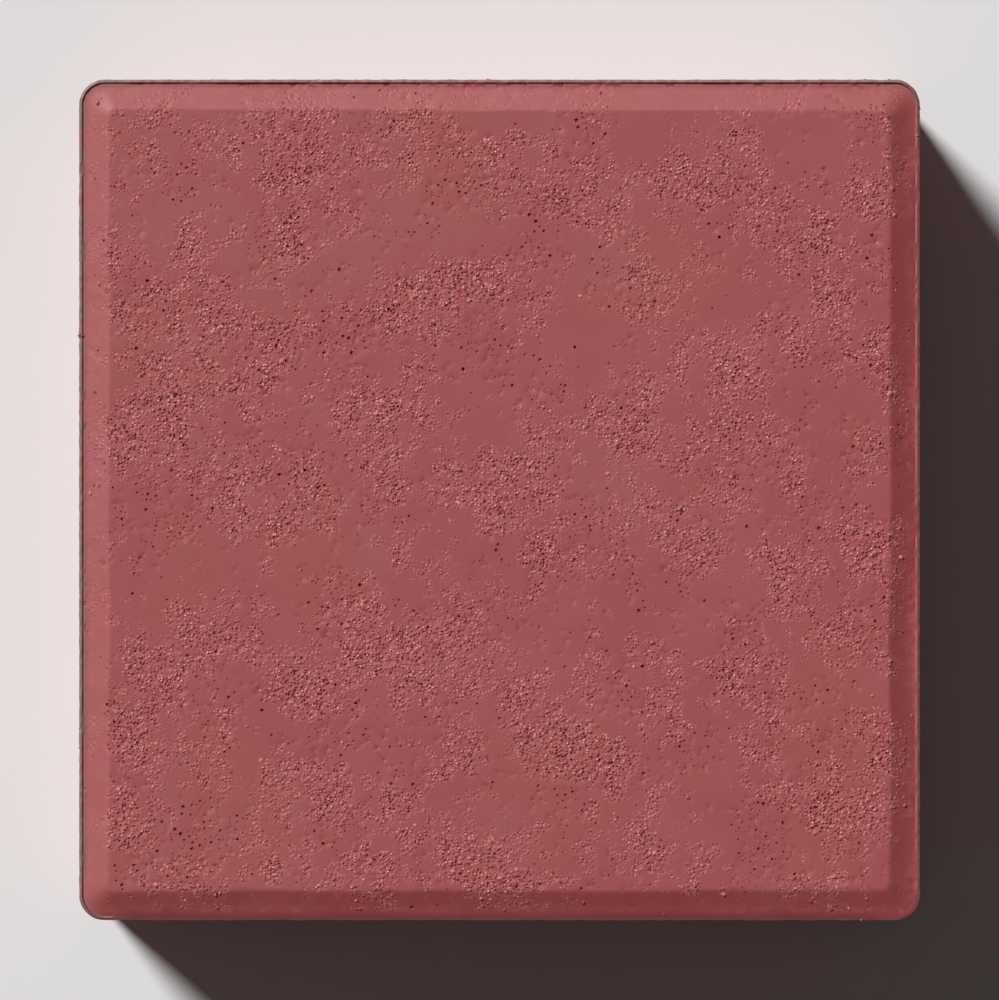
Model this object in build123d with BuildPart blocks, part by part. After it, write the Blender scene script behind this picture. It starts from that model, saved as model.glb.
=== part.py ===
"""Square concrete paving stone, pressed face up in a steel mould and laid with narrow joints.

Sizes are in millimetres. The stone lies on its bed: Z = 0 is the underside, +Z points out of the
wearing face, and the origin is the middle of the underside.
"""

import os

from build123d import *

# Laying module and thickness
module_side = 200.0  # square of paving that one stone takes up, its share of the joints included
joint_width = 2.0  # gap between the side walls of neighbouring stones
thickness = 60.0  # underside to wearing face

# Side walls, upright because the mould is drawn straight up off the stone
corner_radius = 6.0  # upright corners, in plan
bed_arris = 0.8  # edge knocked off round the underside

# Pressed edge of the wearing face, from the flat outwards
face_corner_radius = 2.0  # corners of the flat wearing face, in plan
face_edge_radius = 2.0  # soft turn from the flat into the sloping band
chamfer_run = 5.2  # width of the sloping band, in plan
chamfer_drop = 2.3  # fall of the sloping band
ledge_width = 0.8  # flat left round the foot of the band by the rim of the press plate

# Fin of fine mortar squeezed up between the press plate and the mould wall
fin_root_width = 1.0
fin_tip_width = 0.6
fin_height = 0.5  # above the ledge

# Spacer ribs on the side walls
spacers_per_side = 2
spacer_pitch = 110.0  # from the middle of one spacer to the middle of the next, along the wall
spacer_root_width = 13.0
spacer_crest_width = 8.0
spacer_rise = 42.0  # underside to the top of a spacer's root
spacer_run_in = 4.0  # sloping top of a spacer, root to crest

# Worked out from the sizes above
body_side = module_side - joint_width
spacer_projection = joint_width / 2  # two facing spacers touch and hold the joint open
spacer_row = (spacers_per_side - 1) * spacer_pitch
ledge_z = thickness - chamfer_drop
fin_z = ledge_z + fin_height
edge_width = fin_root_width + ledge_width
foot_side = body_side - 2 * edge_width
face_side = foot_side - 2 * chamfer_run

# Spacer rib: a low tapered pad on the +X wall, open to the underside so that the mould slides off
wall_plane = Plane(origin=(body_side / 2, 0, bed_arris), x_dir=(0, 1, 0), z_dir=(1, 0, 0))
root_rise = spacer_rise - bed_arris
with BuildPart() as spacer:
    with BuildSketch(wall_plane):
        Rectangle(spacer_root_width, root_rise, align=(Align.CENTER, Align.MIN))
    with BuildSketch(wall_plane.offset(spacer_projection)):
        Rectangle(spacer_crest_width, root_rise - spacer_run_in, align=(Align.CENTER, Align.MIN))
    loft(ruled=True)

# Paving stone: one pressed block
with BuildPart() as stone:
    # Block with straight walls, as high as the tip of the fin
    with BuildSketch():
        RectangleRounded(body_side, body_side, corner_radius)
    extrude(amount=fin_z)
    chamfer(stone.edges().group_by(Axis.Z)[0], length=bed_arris)

    # Shallow tray that leaves the fin standing round the block
    with BuildSketch(Plane.XY.offset(ledge_z)):
        tray_floor = body_side - 2 * fin_root_width
        RectangleRounded(tray_floor, tray_floor, corner_radius - fin_root_width)
    with BuildSketch(Plane.XY.offset(fin_z)):
        tray_mouth = body_side - 2 * fin_tip_width
        RectangleRounded(tray_mouth, tray_mouth, corner_radius - fin_tip_width)
    loft(ruled=True, mode=Mode.SUBTRACT)

    # Raised panel: the sloping band climbs from the ledge to the flat wearing face
    with BuildSketch(Plane.XY.offset(ledge_z)):
        RectangleRounded(foot_side, foot_side, corner_radius - edge_width)
    with BuildSketch(Plane.XY.offset(thickness)):
        RectangleRounded(face_side, face_side, face_corner_radius)
    loft(ruled=True)
    fillet(stone.faces().sort_by(Axis.Z)[-1].edges(), radius=face_edge_radius)

    # The same row of spacers on each of the four walls
    with PolarLocations(0, 4):
        with Locations(*((0, n * spacer_pitch - spacer_row / 2, 0) for n in range(spacers_per_side))):
            add(spacer.part)

stone.part.label = "paving_stone"
os.makedirs("parts", exist_ok=True)
export_step(stone.part, "parts/paving_stone.step")
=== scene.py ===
"""Square red concrete paving stone, pressed face up, on a plain pale floor.

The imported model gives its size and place. This script gives it the skin of the real one: the pressed
face with its pinholes and open, sandy patches, the ragged fin round the edge, the scraped side walls
with their spacers and the rough bed.
"""

import math

import bpy
import numpy as np
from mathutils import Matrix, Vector, noise
from mathutils.geometry import delaunay_2d_cdt


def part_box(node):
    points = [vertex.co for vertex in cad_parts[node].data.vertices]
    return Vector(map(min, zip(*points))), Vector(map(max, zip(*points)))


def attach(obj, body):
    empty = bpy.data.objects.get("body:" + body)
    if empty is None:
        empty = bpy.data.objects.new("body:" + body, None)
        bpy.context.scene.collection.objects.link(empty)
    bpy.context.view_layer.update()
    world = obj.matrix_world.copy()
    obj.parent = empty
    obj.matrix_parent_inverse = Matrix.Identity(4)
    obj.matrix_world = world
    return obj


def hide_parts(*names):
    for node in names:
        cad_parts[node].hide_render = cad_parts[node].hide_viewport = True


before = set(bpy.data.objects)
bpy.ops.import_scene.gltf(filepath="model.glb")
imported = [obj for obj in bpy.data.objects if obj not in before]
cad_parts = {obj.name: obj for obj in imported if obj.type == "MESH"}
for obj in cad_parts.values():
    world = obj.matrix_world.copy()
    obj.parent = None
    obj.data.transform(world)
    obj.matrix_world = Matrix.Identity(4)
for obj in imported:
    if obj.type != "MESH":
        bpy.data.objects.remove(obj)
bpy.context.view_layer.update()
stone_low, stone_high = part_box("paving_stone")

# Camera. It looks straight down on the wearing face, as the paving is seen, through a long lens, so
# that the side walls stay out of sight behind the top edge.
frame_share = 0.85  # of the picture's width, taken up by the stone
sensor_width, lens_length = 36.0, 300.0
camera = bpy.data.objects.new("camera", bpy.data.cameras.new("camera"))
camera.data.sensor_width = sensor_width
camera.data.lens = lens_length
view_width = (stone_high.x - stone_low.x) / frame_share
camera.location = (0, 0, stone_high.z + view_width * lens_length / sensor_width)
bpy.context.scene.collection.objects.link(camera)
bpy.context.scene.camera = camera

# Pressed block. Semi-dry concrete, red all through, is shaken down in a steel mould, pressed and pushed
# out while it still stands by itself. Its top and bed are modelled as heights over the plan, and its
# walls over the unrolled outline. Sizes are in millimetres up to the mesh, and in metres after it.
MM = 0.001
spacer_projection = 1.0
half = stone_high.x / MM - spacer_projection
height = stone_high.z / MM
corner_radius, face_corner_radius = 6.0, 2.0
fin_tip, fin_root, band_foot, band_crest = 0.6, 1.0, 1.8, 7.0  # in from the walls
fin_height = 0.5
band_drop = 2.3
crest_softness = 0.16
bed_arris = 0.8
skin_depth = 0.16  # of the pressed skin below the proudest sand grains
ledge_z = height - band_drop
fin_z = ledge_z + fin_height
quarter = 2 * (half - corner_radius) + math.pi * corner_radius / 2
outline_length = 4 * quarter
rng = np.random.default_rng(7)


def lumps(places, size, seed=0):
    """Smooth noise from -1 to 1 at places, with lumps about size across."""
    shift = Vector((13.1 * seed, 7.7 * seed, 3.3 * seed + 0.5))
    return np.array([noise.noise(Vector(p) / size + shift) for p in places])


def layered(places, *layers):
    """Lumps of several sizes added up, where each layer is a height, a size and a seed."""
    return sum(rise * lumps(places, size, seed) for rise, size, seed in layers)


def flat(x, y):
    """Places in the plane as rows of three."""
    return np.column_stack([x, y, np.zeros(len(x))])


def radius_at(inset):
    """Radius of the corners of the outline that lies inset from the walls."""
    band = np.clip((inset - band_foot) / (band_crest - band_foot), 0, 1)
    outer = corner_radius - np.minimum(inset, band_foot)
    return outer + (face_corner_radius - corner_radius + band_foot) * band


def outline(along, inset=0.0):
    """Places and outward directions round the block, along its outline from the middle of +X."""
    side = np.floor(along / quarter + 0.5)
    step = along - side * quarter
    straight = half - corner_radius
    turn = np.maximum(np.abs(step) - straight, 0) / corner_radius * np.sign(step)
    radius = radius_at(np.broadcast_to(inset, along.shape))
    reach = half - inset - radius
    x = reach + radius * np.cos(turn)
    y = np.clip(step / straight, -1, 1) * reach + radius * np.sin(turn)
    angle = side * math.pi / 2
    cos, sin = np.cos(angle), np.sin(angle)
    outward = np.column_stack([np.cos(angle + turn), np.sin(angle + turn)])
    return np.column_stack([x * cos - y * sin, x * sin + y * cos]), outward


def inset_of(places):
    """How far in from the walls the outline through each place lies."""
    across = np.abs(places[:, :2])
    low, high = np.full(len(across), -2.0), np.full(len(across), half - face_corner_radius)
    for _ in range(30):
        middle = (low + high) / 2
        radius = radius_at(np.maximum(middle, 0))
        past = across - (half - middle - radius)[:, None]
        beyond = np.hypot(*np.maximum(past, 0).T) + np.minimum(past.max(1), 0)
        high, low = np.where(beyond > radius, middle, high), np.where(beyond > radius, low, middle)
    return low


def edge_height(inset):
    """Height of the pressed top over the fin, the ledge, the sloping band and the flat."""
    fin = np.interp(inset, [fin_tip, fin_root], [fin_z, ledge_z])
    slope = ledge_z + (inset - band_foot) * band_drop / (band_crest - band_foot)
    near = np.maximum(crest_softness - np.abs(slope - height), 0) / crest_softness
    crown = np.minimum(slope, height) - near**2 * crest_softness / 4
    return np.where(inset < fin_root, fin, np.maximum(crown, ledge_z))


def edge_wander(places):
    """How far the foot and the crest of the sloping band stray from a straight line."""
    return layered(places, (0.45, 30.0, 22), (0.2, 9.0, 1), (0.08, 2.5, 2))


def open_skin(places):
    """How open the cement skin is: 0 is closed, at 1 the sand shows, and 1.4 is the coarsest."""
    clouds = layered(places, (1.0, 15.0, 3), (0.75, 5.5, 4), (0.95, 2.4, 5))
    return np.clip(0.1 + 1.5 * clouds, 0, 1.4)


class Ground:
    """Ground that pits and lines already hold, kept as a fine grid of cells."""

    cell = 0.1
    rarity = 1.6  # of large pits, where 1 is as many of each size
    raggedness = (0.65, 1.2)  # of a pit's rim, in radii
    stray = 0.28  # of filling points, in spacings

    def __init__(self, low, high):
        self.low, self.high = np.array(low), np.array(high)
        self.held = np.zeros(np.ceil((self.high - self.low) / self.cell).astype(int) + 3, bool)

    def window(self, x, y, reach):
        """The cells within reach of a point."""
        first, last = (((x, y) - self.low + r) / self.cell for r in (-reach, reach))
        (x0, y0), (x1, y1) = np.maximum(first, 0).astype(int), np.maximum(last, 0).astype(int)
        return slice(x0, x1 + 1), slice(y0, y1 + 1)

    def mark(self, points, reach):
        """Holds the ground within reach of points, and gives the points back."""
        for x, y in points:
            self.held[self.window(x, y, reach)] = True
        return points

    def free(self, points):
        """The points that lie where nothing is held."""
        x, y = ((points - self.low) / self.cell).astype(int).T
        return points[~self.held[x, y]]

    def dig(self, tries, radii, shape, corners, likely):
        """Points of the pits that find free ground, and how deep each point lies."""
        least, most = radii
        *sides, (_, bottom_down) = shape
        places = rng.uniform(self.low + 2 * most, self.high - 2 * most, (tries, 2))
        points, depths = [], []
        for x, y in places[rng.uniform(size=tries) < likely(places)]:
            radius = least * (most / least) ** (rng.uniform() ** self.rarity)
            reach = self.window(x, y, radius * 1.05)
            if self.held[reach].any():
                continue
            self.held[reach] = True
            turn = rng.uniform(0, math.tau) + np.arange(corners) * math.tau / corners
            rim = radius * rng.uniform(*self.raggedness, corners)
            steepness = 0.5 + 1.3 * rng.uniform() ** 2.5
            for share, down in sides:
                ring = [x + rim * share * np.cos(turn), y + rim * share * np.sin(turn)]
                points.append(np.column_stack(ring))
                depths.append(np.full(corners, down * radius * steepness))
            points.append([(x, y)])
            depths.append([bottom_down * radius * steepness])
        return np.vstack(points), np.concatenate(depths)

    def fill(self, spacing):
        """Scattered points about spacing apart on what is still free."""
        x, y = np.meshgrid(
            np.arange(self.low[0], self.high[0], spacing),
            np.arange(self.low[1], self.high[1], spacing * math.sqrt(3) / 2),
        )
        x = x + (np.arange(len(x)) % 2)[:, None] * spacing / 2
        points = np.column_stack([x.ravel(), y.ravel()])
        points += rng.uniform(-self.stray, self.stray, points.shape) * spacing
        inside = (points > self.low + spacing / 2) & (points < self.high - spacing / 2)
        return self.free(points[inside.all(1)])


def triangles(points, edges):
    """Joins points into triangles, keeping the edges and leaving out what lies beyond them."""
    made = delaunay_2d_cdt([Vector(p) for p in points], edges, [], 1, 1e-5)
    source = np.array([found[0] for found in made[3]])
    return source[np.array(made[2])]


def chain(start, count):
    """Edges that join count points one after the other."""
    return [(i, i + 1) for i in range(start, start + count - 1)]


def loop(start, count):
    """Edges that join count points in a ring."""
    return chain(start, count) + [(start + count - 1, start)]


# Shapes of a pit, from its rim to its bottom: share of the radius, and depth in radii
pinhole = ((1.0, 0.0), (0.75, 0.7), (0.4, 1.1), (0.0, 1.2))
sand_hollow = ((1.0, 0.0), (0.0, 0.95))
wall_void = ((1.0, 0.0), (0.6, 0.5), (0.0, 0.7))

# Wearing face. The press plate draws cement paste to the surface and leaves a closed skin, with
# pinholes where air was caught and open patches where the sand shows. The plate's own rim presses the
# sloping band and the ledge, and the fin is mortar that was squeezed up beside the plate.
rim_count = 1440
rim = np.arange(rim_count) * outline_length / rim_count
rings, face_edges = [], []
for inset in (0.0, fin_tip, fin_root, band_foot):
    stray = edge_wander(flat(*outline(rim, inset)[0].T)) if inset == band_foot else 0.0
    face_edges += loop(len(rings) * rim_count, rim_count)
    rings.append(outline(rim, inset - stray)[0])
rings = np.vstack(rings)
face = Ground((-half, -half), (half, half))
face.mark(rings, reach=0.3)


def in_the_face(places):
    """Whether a place is clear of the ledge."""
    return inset_of(places) > band_foot + 0.8


def on_flat(places):
    """How much of the sandy skin a place has, less on the bands than on the flat."""
    stops = [band_foot, band_foot + 0.6, band_crest - 1.5, band_crest + 1]
    return np.interp(inset_of(places), stops, [0, 0.3, 0.3, 1])


def sand_lost(places):
    """How likely a place is to have lost a sand grain, which is far more so where the skin is open."""
    return in_the_face(places) * (0.002 + (open_skin(flat(*places.T)) * on_flat(places)) ** 3)


holes, hole_depths = face.dig(
    tries=150, radii=(0.26, 0.5), shape=pinhole, corners=8, likely=in_the_face)
hollows, hollow_depths = face.dig(
    tries=60000, radii=(0.24, 0.6), shape=sand_hollow, corners=5, likely=sand_lost)
hollow_depths *= 0.35 + 0.5 * open_skin(flat(*hollows.T))
crest_along = np.arange(0, outline_length, 0.9)
crests = []
for inset in band_crest + np.linspace(-0.8, 0.8, 5):
    stray = edge_wander(flat(*outline(crest_along, inset)[0].T))
    crests.append(face.free(outline(crest_along, inset - stray)[0]))
crests = face.mark(np.vstack(crests), reach=0.35)
filling = face.fill(spacing=1.6)
filling = filling[inset_of(filling) > fin_root]
face_points = np.vstack([rings, holes, hollows, crests, filling])
face_tris = triangles(face_points, face_edges)

face_places = flat(*face_points.T)
face_inset = inset_of(face_points)
down = np.zeros(len(face_points))
pits = slice(len(rings), len(rings) + len(holes) + len(hollows))
down[pits] = np.concatenate([hole_depths, hollow_depths])
sag = 0.05 * (1 + lumps(face_places, 30.0, 6)) + 0.02 * (1 + lumps(face_places, 7.0, 7))
crumble = 0.03 * (1 + lumps(face_places, 0.9, 8)) * open_skin(face_places)
strayed = face_inset + edge_wander(face_places)
face_places[:, 2] = edge_height(strayed) - skin_depth - sag - crumble - down

# Rim of the wearing face. How much of the fin still stands, how far the rim is lowered by wear outside
# the band, and how far in from the walls it is greyed, differ by side and corner. The grey is lime on
# the fin,
# and partly painted light and shade: its reach follows how the light falls on each edge, widest on the
# lit west and least on the shaded south. Each row starts with its place round the block, in quarters
# from the middle of +X.
around, *rim_state = np.transpose([
    (0.44, 0.6, 0.7, 0.8),
    (0.5, 1.0, 0.1, 1.5),
    (0.56, 1.0, 0.0, 1.0),
    (1.44, 1.0, 0.0, 1.0),
    (1.5, 1.1, 0.0, 1.6),
    (1.56, 0.75, 0.0, 1.5),
    (2.44, 0.75, 0.0, 1.5),
    (2.5, 1.1, 0.3, 1.6),
    (2.56, 0.15, 1.2, 0.4),
    (3.44, 0.15, 1.2, 0.4),
    (3.5, 0.4, 0.8, 0.8),
    (3.56, 0.6, 0.7, 0.8),
])
fin_share, worn_down, lime_and_light_reach = (
    np.interp(rim / quarter, around, state, period=4) for state in rim_state)
rim_places = flat(*outline(rim)[0].T)
left = 0.9 + 0.5 * lumps(rim_places, 7.0, 9) + 0.5 * lumps(rim_places, 1.8, 10)
left = np.clip(left + 0.3 * lumps(rim_places, 0.7, 11), 0.0, 1.25) * fin_share
rim_heights = [
    fin_height * left * 0.6 - worn_down,
    fin_height * left - worn_down * 0.7,
    -worn_down * 0.4 - 0.05,
    0 * left - 0.05,
]
face_places[:len(rings), 2] = ledge_z + np.concatenate(rim_heights)
bulge = layered(rim_places, (0.12, 2.2, 12), (0.06, 0.8, 13))
face_places[:rim_count, :2] += outline(rim)[1] * bulge[:, None]
# Share of the grey on the rim: lime on the fin, and partly painted light and shade, broken into patches
lime_patches = 0.75 + 0.6 * lumps(face_places, 5.0, 20) + 0.4 * lumps(face_places, 1.3, 21)
turned = np.arctan2(face_points[:, 1], face_points[:, 0]) / math.tau % 1
nearest = (turned * rim_count).astype(int) % rim_count
lime_and_light_share = np.clip((lime_and_light_reach[nearest] - face_inset) / 0.5, 0, 1) * np.clip(lime_patches, 0, 1)

# Side walls. The mould is drawn straight up off the fresh stone, which leaves fine upright drag marks
# and torn voids, and it forms two tapered spacers on each wall. The walls are modelled unrolled, from
# the middle of +X round.
spacer_middle, spacer_root, spacer_crest = 55.0, 13.0, 8.0
spacer_rise, spacer_run_in = 42.0, 4.0
most_proud = 0.15  # of the scraped wall, so that the spacers keep to their size
rim_blend = 8.0  # depth over which the walls take up the height of the rim
spacer_middles = [side * quarter + way * spacer_middle for side in range(5) for way in (-1, 1)]
spacer_middles = np.array([m for m in spacer_middles if 0 < m < outline_length])
spacer_edges = np.sort(np.add.outer(spacer_middles, [
    -spacer_root / 2, -spacer_crest / 2, spacer_crest / 2, spacer_root / 2]).ravel())
foot_step, seam_step = 1.6, 1.8
foot = np.arange(0, outline_length - foot_step / 2, foot_step)
foot = foot[np.abs(np.subtract.outer(foot, spacer_edges)).min(1) > foot_step * 0.3]
foot = np.unique(np.concatenate([foot, spacer_edges]))
foot_count = len(foot)
seam = np.arange(bed_arris + seam_step, fin_z - 1, seam_step)
wall_lines = [
    np.column_stack([np.append(rim, outline_length), np.full(rim_count + 1, fin_z)]),
    np.column_stack([np.append(foot, outline_length), np.full(foot_count + 1, bed_arris)]),
    np.column_stack([np.zeros(len(seam)), seam]),
    np.column_stack([np.full(len(seam), outline_length), seam]),
]
top_at, foot_at, seam_at, far_seam_at = np.cumsum([0] + [len(line) for line in wall_lines[:-1]])
wall_edges = chain(top_at, rim_count + 1) + chain(foot_at, foot_count + 1)
for at, foot_end, top_end in (
    (seam_at, foot_at, top_at), (far_seam_at, foot_at + foot_count, top_at + rim_count)
):
    wall_edges += chain(at, len(seam)) + [(foot_end, at), (at + len(seam) - 1, top_end)]
wall_count = sum(len(line) for line in wall_lines)
for middle in spacer_middles:
    for width, rise in ((spacer_root, spacer_rise), (spacer_crest, spacer_rise - spacer_run_in)):
        up = np.linspace(bed_arris, rise, 24)[1:]
        across = np.linspace(-width / 2, width / 2, 9)[1:-1]
        line = np.vstack([
            np.column_stack([np.full(len(up), middle - width / 2), up]),
            np.column_stack([middle + across, np.full(len(across), rise)]),
            np.column_stack([np.full(len(up), middle + width / 2), up[::-1]]),
        ])
        ends = foot_at + np.searchsorted(foot, [middle - width / 2 - 1e-6, middle + width / 2 - 1e-6])
        wall_edges += chain(wall_count, len(line))
        wall_edges += [(ends[0], wall_count), (wall_count + len(line) - 1, ends[1])]
        wall_lines.append(line)
        wall_count += len(line)
wall_lines = np.vstack(wall_lines)
wall = Ground((0, bed_arris), (outline_length, fin_z))
wall.mark(wall_lines, reach=0.5)


def open_wall(points):
    """Where the skin of the walls is open, at points of the unrolled strip."""
    return open_skin(np.column_stack([outline(points[:, 0])[0], points[:, 1]]))


voids, void_depths = wall.dig(
    tries=900, radii=(0.4, 1.5), shape=wall_void, corners=7, likely=lambda p: 0.2 + open_wall(p))
specks, speck_depths = wall.dig(
    tries=3600, radii=(0.25, 0.6), shape=sand_hollow, corners=5, likely=lambda p: open_wall(p) ** 2)
rows = []
for level, step in ((fin_z - 0.8, 0.8), (fin_z - 1.7, 1.2)):
    along = np.arange(0.4, outline_length - 0.4, step)
    rows.append(wall.free(np.column_stack([along, np.full(len(along), level)])))
rows = wall.mark(np.vstack(rows), reach=0.6)
wall_points = np.vstack([wall_lines, voids, specks, rows, wall.fill(spacing=2.2)])
wall_tris = triangles(wall_points, wall_edges)


def on_wall(points):
    """Places on the walls, with their scraped and lumpy surface and the spacers."""
    along, z = points.T
    top = np.interp(along, rim, face_places[:rim_count, 2], period=outline_length)
    z = z - (fin_z - top) * np.clip((z - fin_z) / rim_blend + 1, 0, 1)
    plan, outward = outline(along)
    places = np.column_stack([plan, z])
    beside = np.abs(np.subtract.outer(along, spacer_middles)).min(1)
    side_slope = (spacer_root / 2 - beside) / ((spacer_root - spacer_crest) / 2)
    spacer = np.clip(np.minimum(side_slope, (spacer_rise - z) / spacer_run_in), 0, 1)
    scraped = 0.09 * lumps(places * (1, 1, 0.05), 1.3, 14) + 0.08 * lumps(places, 22.0, 15)
    rough = layered(places, (0.05, 2.6, 16), (0.03, 1.1, 17))
    out = spacer * (spacer_projection - most_proud) + np.minimum(scraped + rough, most_proud)
    places[:, :2] += outward * out[:, None]
    return places, outward, spacer


wall_places, wall_outward, wall_spacer = on_wall(wall_points)
wall_down = np.zeros(len(wall_points))
pits = slice(len(wall_lines), len(wall_lines) + len(voids) + len(specks))
wall_down[pits] = np.concatenate([void_depths, speck_depths])
wall_places[:, :2] -= wall_outward * wall_down[:, None]

# Bed. The underside took its print from the board that the stone was pressed on: flat, open and
# dented, with its edge knocked off. It is modelled seen from above, and turned over when it is joined.
proud_foot = wall_spacer[foot_at:foot_at + foot_count, None] * spacer_projection
foot_plan, foot_outward = outline(foot)
bed_lines, bed_edges = [foot_plan + foot_outward * proud_foot], loop(0, foot_count)
bed_count = foot_count
for middle in spacer_middles:
    line = outline(middle + np.linspace(-spacer_root / 2, spacer_root / 2, 9)[1:-1])[0]
    ends = np.searchsorted(foot, [middle - spacer_root / 2 - 1e-6, middle + spacer_root / 2 - 1e-6])
    bed_edges += chain(bed_count, len(line)) + [(ends[0], bed_count)]
    bed_edges += [(bed_count + len(line) - 1, ends[1])]
    bed_lines.append(line)
    bed_count += len(line)
arris_along = np.arange(0, outline_length - 1, foot_step)
bed_lines.append(outline(arris_along, bed_arris)[0])
bed_edges += loop(bed_count, len(arris_along))
bed_lines = np.vstack(bed_lines)
bed = Ground((-half, -half), (half, half))
bed.mark(np.clip(bed_lines, -half, half), reach=0.6)
dents, dent_depths = bed.dig(
    tries=900, radii=(0.5, 2.2), shape=wall_void, corners=7,
    likely=lambda p: (inset_of(p) > 3) * (0.15 + 0.8 * open_skin(flat(*p.T))),
)
bed_fill = bed.fill(spacing=3.2)
bed_fill = bed_fill[inset_of(bed_fill) > bed_arris + 0.5]
bed_points = np.vstack([bed_lines, dents, bed_fill])
bed_tris = triangles(bed_points, bed_edges)[:, ::-1]
bed_places = flat(*bed_points.T)
bed_inset = inset_of(bed_points)
bed_rough = 0.1 * (1 + lumps(bed_places, 14.0, 18)) + 0.08 * (1 + lumps(bed_places, 3.0, 19))
bed_places[:, 2] = np.clip(bed_arris - bed_inset, 0, bed_arris) + bed_rough * (bed_inset > bed_arris / 2)
bed_places[len(bed_lines):len(bed_lines) + len(dents), 2] += dent_depths

# The three skins share the top ring and the foot ring, and the walls close on their seam
face_count = len(face_places)
wall_at = np.arange(len(wall_places)) + face_count
wall_at[top_at:top_at + rim_count + 1] = np.arange(rim_count + 1) % rim_count
wall_at[foot_at + foot_count] = wall_at[foot_at]
wall_at[far_seam_at:far_seam_at + len(seam)] = wall_at[seam_at:seam_at + len(seam)]
bed_at = np.arange(len(bed_places)) + face_count + len(wall_places)
bed_at[:foot_count] = wall_at[foot_at:foot_at + foot_count]
places = np.vstack([face_places, wall_places, bed_places])
tris = np.vstack([face_tris, wall_at[wall_tris], bed_at[bed_tris]])
sandy = np.concatenate([on_flat(face_points), np.ones(len(wall_down) + len(bed_inset))])
values = {
    "hollow": np.concatenate([down, wall_down, 0 * bed_inset]),
    "open_skin": open_skin(places) * sandy,
    # the grey rim: lime, and partly painted light and shade
    "worn": np.concatenate([lime_and_light_share, 0 * wall_down, 0 * bed_inset]),
}
used, tris = np.unique(tris, return_inverse=True)
tris = tris.reshape(-1, 3)
places = places[used]
skin_of = np.repeat([0, 1, 2], [len(face_tris), len(wall_tris), len(bed_tris)])

# Layout of the skins side by side on one square map, for baking: the face in the lower left corner,
# the bed to the right of it, and the four walls as two rows of strips above. A scale is the share of
# the map that a millimetre takes.
face_scale, wall_scale, bed_scale = 0.0034, 0.0024, 0.00135
face_middle, bed_middle = 0.35, (0.855, 0.14)
strips_left, strips_bottom = 0.01, 0.71
strips_apart, strip_rows_apart = 0.5, 0.145
strip_half_length = 100
side_of = np.floor(wall_points[wall_tris, 0].mean(1) / quarter + 0.5).astype(int)
wall_u = wall_points[wall_tris, 0] - side_of[:, None] * quarter + strip_half_length
wall_v = wall_points[wall_tris, 1]
strip = side_of % 4
wall_map = np.dstack([
    wall_u * wall_scale + strips_left + strips_apart * (strip % 2)[:, None],
    wall_v * wall_scale + strips_bottom + strip_rows_apart * (strip // 2)[:, None],
])
face_map = face_points[face_tris] * face_scale + face_middle
bed_map = bed_points[bed_tris] * bed_scale + bed_middle

mesh = bpy.data.meshes.new("stone_body")
mesh.from_pydata(places * MM, [], tris)
mesh.polygons.foreach_set("use_smooth", np.ones(len(tris), bool))
mesh.polygons.foreach_set("material_index", skin_of)
for name, value in values.items():
    mesh.attributes.new(name, "FLOAT", "POINT").data.foreach_set("value", value[used])
layout = mesh.uv_layers.new(name="OFBake")
layout.uv.foreach_set("vector", np.vstack([face_map, wall_map, bed_map]).ravel())
mesh.set_sharp_from_angle(angle=math.radians(35))
body = bpy.data.objects.new("stone_body", mesh)
bpy.context.scene.collection.objects.link(body)


def node(tree, kind, feeds=None, **settings):
    """Adds a node with its settings, and feeds values or links into its sockets."""
    made = tree.nodes.new(kind)
    for key, value in settings.items():
        setattr(made, key, value)
    for socket, value in (feeds or {}).items():
        if isinstance(value, bpy.types.NodeSocket):
            tree.links.new(value, made.inputs[socket])
        else:
            made.inputs[socket].default_value = value
    return made


def blend_colors(tree, amount, below, above):
    """Mixes one colour over another by amount and gives the socket of the result."""
    made = node(tree, "ShaderNodeMix", {0: amount, 6: below, 7: above}, data_type="RGBA")
    return made.outputs[2]


def group(name, inputs, outputs):
    """Starts a shader node group with named inputs and outputs."""
    tree = bpy.data.node_groups.new(name, "ShaderNodeTree")
    for label, kind, value in inputs:
        socket = tree.interface.new_socket(label, in_out="INPUT", socket_type="NodeSocket" + kind)
        if value is not None:
            socket.default_value = value
    for label, kind in outputs:
        tree.interface.new_socket(label, in_out="OUTPUT", socket_type="NodeSocket" + kind)
    return tree, node(tree, "NodeGroupInput").outputs, node(tree, "NodeGroupOutput")


# Iron oxide isn't mixed in evenly: clouds of rustier and of paler, limier red
mottle, given, result = group(
    "Iron Oxide Mottle",
    [("Vector", "Vector", None), ("Red", "Color", (0.35, 0.05, 0.054, 1)),
     ("Rust", "Color", (0.36, 0.068, 0.046, 1)), ("Bloom", "Color", (0.38, 0.075, 0.089, 1)),
     ("Rust Amount", "Float", 0.3), ("Bloom Amount", "Float", 0.3)],
    [("Color", "Color")],
)
color = given["Red"]
for scale, offset, over in ((22.0, 0.0, "Rust"), (60.0, 5.0, "Bloom")):
    moved = node(mottle, "ShaderNodeVectorMath", {0: given["Vector"], 1: (offset, 0, 0)},
                 operation="ADD")
    clouds = node(mottle, "ShaderNodeTexNoise",
                  {"Vector": moved.outputs[0], "Scale": scale, "Detail": 3.0, "Roughness": 0.55})
    share = node(mottle, "ShaderNodeMapRange", {
        "Value": clouds.outputs["Fac"], "From Min": 0.42, "From Max": 0.68,
        "To Max": given[over + " Amount"],
    }, interpolation_type="SMOOTHSTEP")
    color = blend_colors(mottle, share.outputs[0], color, given[over])
mottle.links.new(color, result.inputs["Color"])

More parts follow.
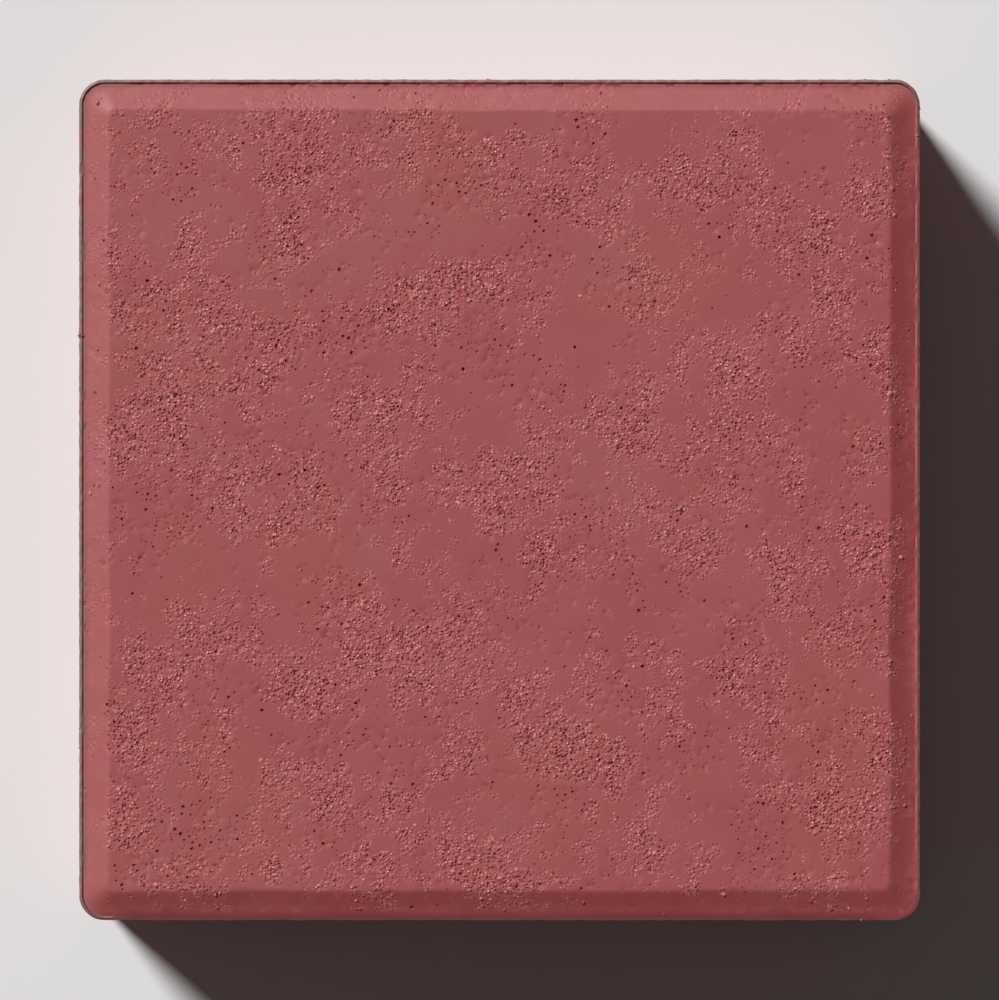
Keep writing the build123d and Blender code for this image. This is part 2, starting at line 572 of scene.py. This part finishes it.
# Sand under the cement skin: pale and dark grains and the bumps they make
sand, given, result = group(
    "Sand Speckle",
    [("Vector", "Vector", None), ("Grains per Metre", "Float", 1300.0), ("Openness", "Float", 0.5)],
    [("Pale", "Float"), ("Dark", "Float"), ("Relief", "Float")],
)
cells = node(sand, "ShaderNodeTexVoronoi",
             {"Vector": given["Vector"], "Scale": given["Grains per Metre"]})
lot = node(sand, "ShaderNodeSeparateColor", {"Color": cells.outputs["Color"]})
dome = node(sand, "ShaderNodeMapRange",
            {"Value": cells.outputs["Distance"], "From Min": 0.55, "From Max": 0.1},
            interpolation_type="SMOOTHSTEP")
for label, channel, left_out in (("Pale", 0, 0.58), ("Dark", 1, 0.63)):
    chosen = node(sand, "ShaderNodeMath", {0: lot.outputs[channel], 1: left_out},
                  operation="GREATER_THAN")
    shaped = node(sand, "ShaderNodeMath", {0: chosen.outputs[0], 1: dome.outputs[0]},
                  operation="MULTIPLY")
    shown = node(sand, "ShaderNodeMath", {0: shaped.outputs[0], 1: given["Openness"]},
                 operation="MULTIPLY")
    sand.links.new(shown.outputs[0], result.inputs[label])
grit = node(sand, "ShaderNodeTexNoise",
            {"Vector": given["Vector"], "Scale": 520.0, "Detail": 4.0, "Roughness": 0.65})
heap = node(sand, "ShaderNodeMath", {0: dome.outputs[0], 1: lot.outputs[2]}, operation="MULTIPLY")
both = node(sand, "ShaderNodeMath", {0: heap.outputs[0], 1: 0.6, 2: grit.outputs["Fac"]},
            operation="MULTIPLY_ADD")
level = node(sand, "ShaderNodeMath", {0: both.outputs[0], 1: 0.6}, operation="SUBTRACT")
laid = node(sand, "ShaderNodeMapRange",
            {"Value": given["Openness"], "To Min": 0.0, "To Max": 1.75}, clamp=False)
relief = node(sand, "ShaderNodeMath", {0: level.outputs[0], 1: laid.outputs[0]}, operation="MULTIPLY")
sand.links.new(relief.outputs[0], result.inputs["Relief"])

# Skins of the block. All are the same red concrete, but only the face met the polished press plate:
# the sides were dragged along the mould and the bed lay on a board, so both are duller and sandier.
pale_grain = (1.0, 0.37, 0.365, 1)
dark_grain = (0.13, 0.0, 0.002, 1)
# Painted shade: the deep red that hollows darken towards with their depth, in place of the shade inside
# them
painted_hollow_shade = (0.26, 0.0, 0.001, 1)
# Grey of the rim: lime on the fin, and partly painted light and shade along the edges
lime_and_painted_light = (0.22, 0.11, 0.095, 1)
dusty_red = (0.65, 0.138, 0.148, 1)
most_dust = 0.2  # share of the dusty red where the sand shows
shade_per_mm = 2.3  # share of the deep red that a hollow's depth brings
gloss = 0.9  # of the closed skin, which sand and hollows dull by their roughness
sand_dulling = 0.06  # what bare sand adds to the roughness
for name, red, grains_per_metre, least_open, relief_height, roughness, ior in (
    ("pressed_face", (0.35, 0.0455, 0.0525, 1), 1300.0, 0.0, 0.4, 0.63, 1.55),
    ("drawn_side", (0.335, 0.07, 0.069, 1), 1000.0, 0.3, 0.5, 0.7, 1.5),
    ("bed", (0.32, 0.072, 0.069, 1), 800.0, 0.55, 0.6, 0.75, 1.5),
):
    material = bpy.data.materials.new(name)
    material.use_nodes = True
    tree = material.node_tree
    principled = tree.nodes["Principled BSDF"]
    principled.inputs["IOR"].default_value = ior
    principled.inputs["Specular IOR Level"].default_value = gloss
    place = node(tree, "ShaderNodeTexCoord").outputs["Object"]
    marks = {
        label: node(tree, "ShaderNodeAttribute", attribute_name=label).outputs["Fac"]
        for label in ("open_skin", "hollow", "worn")
    }
    opened = node(tree, "ShaderNodeMapRange", {"Value": marks["open_skin"], "To Min": least_open},
                  clamp=False)
    clouds = node(tree, "ShaderNodeGroup", node_tree=mottle)
    clouds.inputs["Red"].default_value = red
    tree.links.new(place, clouds.inputs["Vector"])
    speckle = node(tree, "ShaderNodeGroup", node_tree=sand)
    speckle.inputs["Grains per Metre"].default_value = grains_per_metre
    tree.links.new(place, speckle.inputs["Vector"])
    tree.links.new(opened.outputs[0], speckle.inputs["Openness"])
    dust = node(tree, "ShaderNodeMath", {0: opened.outputs[0], 1: most_dust}, operation="MULTIPLY")
    color = blend_colors(tree, dust.outputs[0], clouds.outputs["Color"], dusty_red)
    color = blend_colors(tree, speckle.outputs["Pale"], color, pale_grain)
    color = blend_colors(tree, speckle.outputs["Dark"], color, dark_grain)
    depth = node(tree, "ShaderNodeMath", {0: marks["hollow"], 1: shade_per_mm},
                 operation="MULTIPLY", use_clamp=True)
    matt = node(tree, "ShaderNodeMapRange",
                {"Value": opened.outputs[0], "To Min": roughness, "To Max": roughness + sand_dulling})
    broken = node(tree, "ShaderNodeMath", {0: speckle.outputs["Dark"], 1: depth.outputs[0]},
                  operation="MAXIMUM")
    rough = node(tree, "ShaderNodeMath", {0: matt.outputs[0], 1: broken.outputs[0]},
                 operation="MAXIMUM")
    tree.links.new(rough.outputs[0], principled.inputs["Roughness"])
    # Painted shade: hollows on the face and the walls darken towards deep red with their depth
    color = blend_colors(tree, depth.outputs[0], color, painted_hollow_shade)
    # Partly painted light and shade: the rim greys towards lime, furthest in on the lit west edge
    color = blend_colors(tree, marks["worn"], color, lime_and_painted_light)
    tree.links.new(color, principled.inputs["Base Color"])
    raised = speckle.outputs["Relief"]
    if name == "drawn_side":
        drawn = node(tree, "ShaderNodeVectorMath", {0: place, 1: (1, 1, 0.04)}, operation="MULTIPLY")
        streaks = node(tree, "ShaderNodeTexNoise",
                       {"Vector": drawn.outputs[0], "Scale": 600.0, "Detail": 3.0, "Roughness": 0.6})
        raised = node(tree, "ShaderNodeMath", {0: streaks.outputs["Fac"], 1: 0.9, 2: raised},
                      operation="MULTIPLY_ADD").outputs[0]
    bump = node(tree, "ShaderNodeBump",
                {"Height": raised, "Strength": 1.0, "Distance": relief_height * MM})
    tree.links.new(bump.outputs[0], principled.inputs["Normal"])
    mesh.materials.append(material)
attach(body, "root")
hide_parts("paving_stone")

# Sand grains. Crushed sand, most of it coated with red cement, stands a little out of the open patches
# of the skin, finer on the face, where the press plate has set it flush, than on the sides.
bare_grain = (0.66, 0.23, 0.21, 1)
grain_material = bpy.data.materials.new("sand_grain")
grain_material.use_nodes = True
tree = grain_material.node_tree
principled = tree.nodes["Principled BSDF"]
principled.inputs["Roughness"].default_value = 0.75
principled.inputs["IOR"].default_value = 1.5
place = node(tree, "ShaderNodeTexCoord").outputs["Object"]
clouds = node(tree, "ShaderNodeGroup", node_tree=mottle)
tree.links.new(place, clouds.inputs["Vector"])
tint = node(tree, "ShaderNodeAttribute", attribute_name="grain_tint").outputs["Fac"]
bared = node(tree, "ShaderNodeMapRange",
             {"Value": tint, "From Min": 0.3, "From Max": 1.0, "To Max": 1.0})
color = blend_colors(tree, bared.outputs[0], clouds.outputs["Color"], bare_grain)
tree.links.new(color, principled.inputs["Base Color"])

scatter = bpy.data.node_groups.new("Sand Grains", "GeometryNodeTree")
scatter.is_modifier = True
for label, kind, value in (
    ("Stone", "Object", None), ("Skin", "Material", None), ("Grain Material", "Material", None),
    ("Grains per Square Metre", "Float", 1e6), ("Spacing", "Float", 0.0005),
    ("Smallest", "Float", 0.0002), ("Largest", "Float", 0.0006), ("Sunk", "Float", 0.35),
    ("Seed", "Int", 1), ("Least Corner", "Vector", None), ("Most Corner", "Vector", None),
):
    socket = scatter.interface.new_socket(label, in_out="INPUT", socket_type="NodeSocket" + kind)
    if value is not None:
        socket.default_value = value
scatter.interface.new_socket("Geometry", in_out="OUTPUT", socket_type="NodeSocketGeometry")
given = node(scatter, "NodeGroupInput").outputs
result = node(scatter, "NodeGroupOutput")
stone = node(scatter, "GeometryNodeObjectInfo", {"Object": given["Stone"]})
chosen = node(scatter, "GeometryNodeMaterialSelection", {"Material": given["Skin"]})
opened = node(scatter, "GeometryNodeInputNamedAttribute", {"Name": "open_skin"}, data_type="FLOAT")
spread = node(scatter, "ShaderNodeMapRange",
              {"Value": opened.outputs["Attribute"], "From Min": 0.15, "To Min": 0.005, "To Max": 1.0})
points = node(scatter, "GeometryNodeDistributePointsOnFaces", {
    "Mesh": stone.outputs["Geometry"], "Selection": chosen.outputs[0], "Distance Min": given["Spacing"],
    "Density Max": given["Grains per Square Metre"], "Density Factor": spread.outputs[0],
    "Seed": given["Seed"],
}, distribute_method="POISSON")
chance = node(scatter, "FunctionNodeRandomValue", {"Min": 0.0, "Max": 1.0, "Seed": given["Seed"]})
rarer = node(scatter, "ShaderNodeMath", {0: chance.outputs[1], 1: 2.2}, operation="POWER")
radius = node(scatter, "ShaderNodeMapRange",
              {"Value": rarer.outputs[0], "To Min": given["Smallest"], "To Max": given["Largest"]})
sunk = node(scatter, "ShaderNodeMath", {0: radius.outputs[0], 1: given["Sunk"]}, operation="MULTIPLY")
lowered = node(scatter, "ShaderNodeMath", {0: sunk.outputs[0], 1: -1.0}, operation="MULTIPLY")
inward = node(scatter, "ShaderNodeVectorMath",
              {0: points.outputs["Normal"], "Scale": lowered.outputs[0]}, operation="SCALE")
bedded = node(scatter, "GeometryNodeSetPosition",
              {"Geometry": points.outputs["Points"], "Offset": inward.outputs[0]})
turn = node(scatter, "FunctionNodeRandomValue", {"Min": (0, 0, 0), "Max": (math.tau,) * 3, "Seed": 3},
            data_type="FLOAT_VECTOR")
turned = node(scatter, "FunctionNodeEulerToRotation", {0: turn.outputs[0]})
shape = node(scatter, "FunctionNodeRandomValue", {"Min": (0.7,) * 3, "Max": (1.3,) * 3, "Seed": 5},
             data_type="FLOAT_VECTOR")
size = node(scatter, "ShaderNodeVectorMath", {0: shape.outputs[0], "Scale": radius.outputs[0]},
            operation="SCALE")
grain = node(scatter, "GeometryNodeMeshIcoSphere", {"Radius": 1.0, "Subdivisions": 1})
laid = node(scatter, "GeometryNodeInstanceOnPoints", {
    "Points": bedded.outputs[0], "Instance": grain.outputs["Mesh"], "Rotation": turned.outputs[0],
    "Scale": size.outputs[0],
})
lot = node(scatter, "FunctionNodeRandomValue", {"Min": 0.0, "Max": 1.0, "Seed": 9})
tinted = node(scatter, "GeometryNodeStoreNamedAttribute",
              {"Geometry": laid.outputs[0], "Name": "grain_tint", "Value": lot.outputs[1]},
              data_type="FLOAT", domain="INSTANCE")
real = node(scatter, "GeometryNodeRealizeInstances", {"Geometry": tinted.outputs[0]})
where = node(scatter, "GeometryNodeInputPosition")
kept = node(scatter, "ShaderNodeVectorMath", {0: where.outputs[0], 1: given["Most Corner"]},
            operation="MINIMUM")
kept = node(scatter, "ShaderNodeVectorMath", {0: kept.outputs[0], 1: given["Least Corner"]},
            operation="MAXIMUM")
flush = node(scatter, "GeometryNodeSetPosition",
             {"Geometry": real.outputs[0], "Position": kept.outputs[0]})
faced = node(scatter, "GeometryNodeSetMaterial",
             {"Geometry": flush.outputs[0], "Material": given["Grain Material"]})
scatter.links.new(faced.outputs[0], result.inputs["Geometry"])
sockets = {item.name: item.identifier for item in scatter.interface.items_tree if item.in_out == "INPUT"}

corners_of_grain = 12  # of the plain ball that each grain is made from
map_share = 0.98  # of the baking map's width, taken up by the stone's
top_gap = Vector((0, 0, 0.00002))  # left between the highest grain and the top of the CAD box
for name, skin, per_area, spacing, smallest, largest, sink, seed in (
    ("face_sand", "pressed_face", 1.1e6, 0.0005, 0.00018, 0.0006, 0.35, 11),
    ("side_sand", "drawn_side", 3.2e5, 0.0008, 0.00025, 0.0008, 0.6, 12),
):
    base = bpy.data.objects.new(name, bpy.data.meshes.new(name))
    bpy.context.scene.collection.objects.link(base)
    modifier = base.modifiers.new("Sand Grains", "NODES")
    modifier.node_group = scatter
    for label, value in (
        ("Stone", body), ("Skin", bpy.data.materials[skin]), ("Grain Material", grain_material),
        ("Grains per Square Metre", per_area), ("Spacing", spacing), ("Smallest", smallest),
        ("Largest", largest), ("Sunk", sink), ("Seed", seed),
        ("Least Corner", stone_low), ("Most Corner", stone_high - top_gap),
    ):
        modifier[sockets[label]] = value
    depsgraph = bpy.context.evaluated_depsgraph_get()
    scattered = bpy.data.meshes.new_from_object(base.evaluated_get(depsgraph))
    bpy.data.objects.remove(base)
    where = np.empty(len(scattered.vertices) * 3)
    scattered.vertices.foreach_get("co", where)
    x, y, z = where.reshape(-1, 3).T / (stone_high.x * 2)
    u, v = x * map_share + 0.5, y * map_share + 0.5
    if skin == "drawn_side":
        # The grains of each wall have a row of the map to themselves
        middle_x, middle_y = (
            np.repeat(way.reshape(-1, corners_of_grain).mean(1), corners_of_grain) for way in (x, y))
        east = np.abs(middle_x) > np.abs(middle_y)
        row = np.where(east, middle_x > 0, 2 + (middle_y > 0))
        u, v = np.where(east, v, u), (row + 0.05 + z * 3) / 4
    corners = np.empty(len(scattered.loops), int)
    scattered.loops.foreach_get("vertex_index", corners)
    # The grains bring an attribute of this name from the stone, so their map comes out as OFBake.001
    layout = scattered.uv_layers.new(name="OFBake")
    layout.uv.foreach_set("vector", np.column_stack([u, v])[corners].ravel())
    grains = bpy.data.objects.new(name, scattered)
    bpy.context.scene.collection.objects.link(grains)
    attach(grains, "root")

# Floor. A plain pale level surface for the stone to lie on, wide enough to fill every view. It isn't
# part of the stone.
floor_reach = 2.0
square = [(x * floor_reach, y * floor_reach, 0) for x, y in ((-1, -1), (1, -1), (1, 1), (-1, 1))]
floor_mesh = bpy.data.meshes.new("floor")
floor_mesh.from_pydata(square, [], [(0, 1, 2, 3)])
floor = bpy.data.objects.new("floor", floor_mesh)
bpy.context.scene.collection.objects.link(floor)

# Light. One soft lamp far up to the left of the picture, where the paving's bright and dark bands put
# the sun, and a little warm light from all round.
lamp_azimuth = math.radians(41.5)  # from +Y towards -X
lamp_elevation = math.radians(43.5)
lamp = bpy.data.objects.new("key", bpy.data.lights.new("key", "SUN"))
lamp.data.energy = 3.75
lamp.data.angle = math.radians(12)
toward = Vector((-math.sin(lamp_azimuth), math.cos(lamp_azimuth), math.tan(lamp_elevation)))
lamp.rotation_mode = "QUATERNION"
lamp.rotation_quaternion = toward.to_track_quat("Z", "Y")
bpy.context.scene.collection.objects.link(lamp)
world = bpy.data.worlds.new("world")
world.use_nodes = True
background = world.node_tree.nodes["Background"]
background.inputs["Color"].default_value = (1, 0.92, 0.9, 1)
background.inputs["Strength"].default_value = 0.05
bpy.context.scene.world = world
bpy.context.scene.view_settings.view_transform = "Standard"
